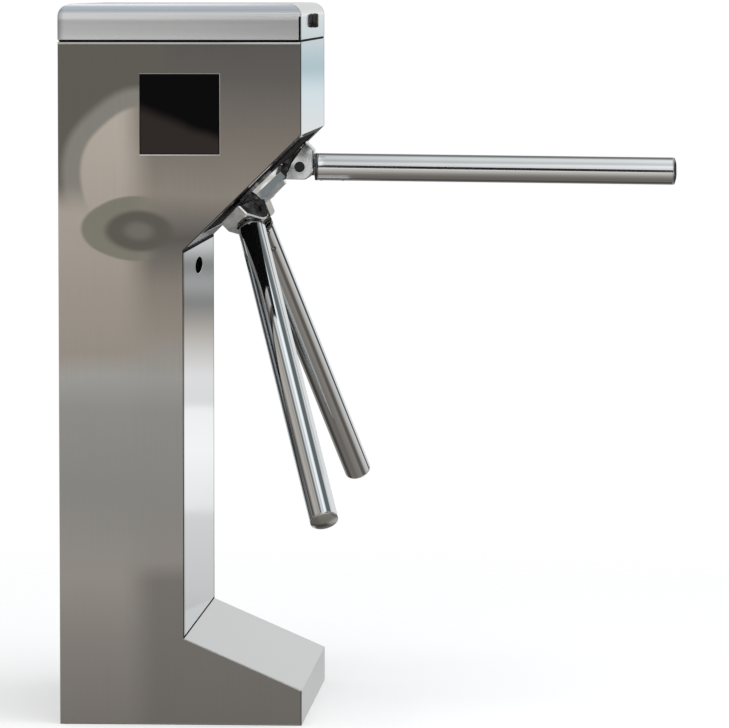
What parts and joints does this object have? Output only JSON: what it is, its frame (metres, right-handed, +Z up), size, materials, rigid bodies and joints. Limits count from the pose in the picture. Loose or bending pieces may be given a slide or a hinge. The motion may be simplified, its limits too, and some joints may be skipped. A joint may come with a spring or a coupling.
{
  "type": "tripod turnstile",
  "caption": "Waist-high tripod turnstile: steel pedestal with a slanted head face and a rotor of drop arms at forty-five degrees.",
  "frame": {"origin": "middle of the pedestal's footprint, on the floor", "axes": "+X into the passage, the way the horizontal arm points; +Y to the far side of the passage; +Z up"},
  "size_m": [0.8386, 0.7782, 0.98],
  "materials": {
    "stainless_brushed": "vertical brushed stainless sheet",
    "stainless_polished": "bright fine-ground stainless sheet",
    "zinc_plated_steel": "zinc plated",
    "bright_steel": "ground",
    "dark_steel": "blackened",
    "cast_metal": "fine cast and tumbled",
    "polished_tube": "polished stainless tube",
    "lock_chrome": "bright plated",
    "brass": "machined",
    "black_plastic": "moulded",
    "black_window": "dark tinted, gloss",
    "black_coating": "satin black",
    "circuit_board": "solder-masked board"
  },
  "bodies": {
    "cabinet": {"side_panel_front": "stainless_brushed", "side_panel_back": "stainless_brushed", "back_panel": "stainless_brushed", "foot_cover": "stainless_brushed", "head_front_panel": "stainless_polished", "base_plate": "zinc_plated_steel", "column_frame": "zinc_plated_steel", "frame_post_front": "zinc_plated_steel", "frame_post_back": "zinc_plated_steel", "top_rim": "zinc_plated_steel", "mechanism_plate": "zinc_plated_steel", "mechanism_rail_front": "zinc_plated_steel", "mechanism_rail_back": "zinc_plated_steel", "rear_plate": "zinc_plated_steel", "lid_keeper": "zinc_plated_steel", "power_supply": "zinc_plated_steel", "outer_bearing": "bright_steel", "inner_bearing": "bright_steel", "lid_hinge_pin": "bright_steel", "gear_motor": "dark_steel", "lock_solenoid_front": "dark_steel", "lock_solenoid_back": "dark_steel", "bearing_housing": "cast_metal", "indicator_housing_front": "black_plastic", "indicator_housing_back": "black_plastic", "window_front": "black_window", "window_back": "black_window", "hub_cover_plate": "black_coating", "control_board": "circuit_board", "encoder_board": "circuit_board"},
    "service_panel": {"service_panel": "stainless_polished"},
    "lid": {"lid_shell": "stainless_brushed", "lid_end_cap": "stainless_polished", "lid_lock_housing": "lock_chrome"},
    "lid_lock": {"lid_lock_plug": "brass", "lid_lock_cam": "zinc_plated_steel"},
    "rotor": {"rotor_shaft": "bright_steel", "rotor_hub": "cast_metal", "hub_cap": "cast_metal", "rotor_gear": "zinc_plated_steel", "lock_wheel": "zinc_plated_steel", "encoder_disc": "black_plastic", "arm_1_pin": "dark_steel", "arm_2_pin": "dark_steel", "arm_3_pin": "dark_steel"},
    "pinion": {"motor_pinion": "brass"},
    "pawl_front": {"lock_pawl_front": "dark_steel"},
    "pawl_back": {"lock_pawl_back": "dark_steel"},
    "plunger_front": {"lock_plunger_front": "bright_steel"},
    "plunger_back": {"lock_plunger_back": "bright_steel"},
    "arm_1": {"arm_1_root": "cast_metal", "arm_1_tube": "polished_tube", "arm_1_end_cap": "stainless_polished"},
    "arm_2": {"arm_2_root": "cast_metal", "arm_2_tube": "polished_tube", "arm_2_end_cap": "stainless_polished"},
    "arm_3": {"arm_3_root": "cast_metal", "arm_3_tube": "polished_tube", "arm_3_end_cap": "stainless_polished"}
  },
  "joints": [
    {"name": "rotor_spin", "type": "hinge", "parent": "cabinet", "child": "rotor", "pos_m": [0.085, 0, 0.72486], "axis": [0.6997, 0, -0.7145], "continuous": true},
    {"name": "arm_1_fold", "type": "hinge", "parent": "rotor", "child": "arm_1", "pos_m": [0.14752, 0, 0.75249], "axis": [0, 1, 0], "range_deg": [0, 90]},
    {"name": "arm_2_fold", "type": "hinge", "parent": "rotor", "child": "arm_2", "pos_m": [0.07893, -0.05543, 0.68532], "axis": [0.6188, -0.5, 0.6059], "range_deg": [0, 45]},
    {"name": "arm_3_fold", "type": "hinge", "parent": "rotor", "child": "arm_3", "pos_m": [0.07893, 0.05543, 0.68532], "axis": [-0.6188, -0.5, -0.6059], "range_deg": [0, 45]},
    {"name": "pinion_spin", "type": "hinge", "parent": "cabinet", "child": "pinion", "pos_m": [0.07907, 0, 0.83382], "axis": [0.6997, 0, -0.7145], "continuous": true},
    {"name": "pawl_front_swing", "type": "hinge", "parent": "cabinet", "child": "pawl_front", "pos_m": [-0.02358, -0.062, 0.7557], "axis": [0.6997, 0, -0.7145], "range_deg": [0, 14], "stiffness_Nm_per_rad": 0.2, "springref_deg": -8.59},
    {"name": "pawl_back_swing", "type": "hinge", "parent": "cabinet", "child": "pawl_back", "pos_m": [-0.02358, 0.062, 0.7557], "axis": [-0.6997, 0, 0.7145], "range_deg": [0, 14], "stiffness_Nm_per_rad": 0.2, "springref_deg": -8.59},
    {"name": "plunger_front_slide", "type": "slide", "parent": "cabinet", "child": "plunger_front", "axis": [-0.7145, 0, -0.6997], "range_m": [0, 0.0055]},
    {"name": "plunger_back_slide", "type": "slide", "parent": "cabinet", "child": "plunger_back", "axis": [-0.7145, 0, -0.6997], "range_m": [0, 0.0055]},
    {"name": "lid_open", "type": "hinge", "parent": "cabinet", "child": "lid", "pos_m": [-0.165, 0, 0.9308], "axis": [0, -1, 0], "range_deg": [0, 90]},
    {"name": "lid_lock_turn", "type": "hinge", "parent": "lid", "child": "lid_lock", "pos_m": [0.165, 0, 0.9558], "axis": [-1, 0, 0], "range_deg": [0, 90]},
    {"name": "service_panel_tilt", "type": "hinge", "parent": "cabinet", "child": "service_panel", "pos_m": [0.005, 0, 0.1196], "axis": [0, 1, 0], "range_deg": [0, 5]}
  ],
  "couplings": [
    {"joint": "pinion_spin", "follows": "rotor_spin", "ratio": -3},
    {"joint": "plunger_front_slide", "follows": "pawl_front_swing", "m_per_rad": 0.0221},
    {"joint": "plunger_back_slide", "follows": "pawl_back_swing", "m_per_rad": 0.0221}
  ]
}
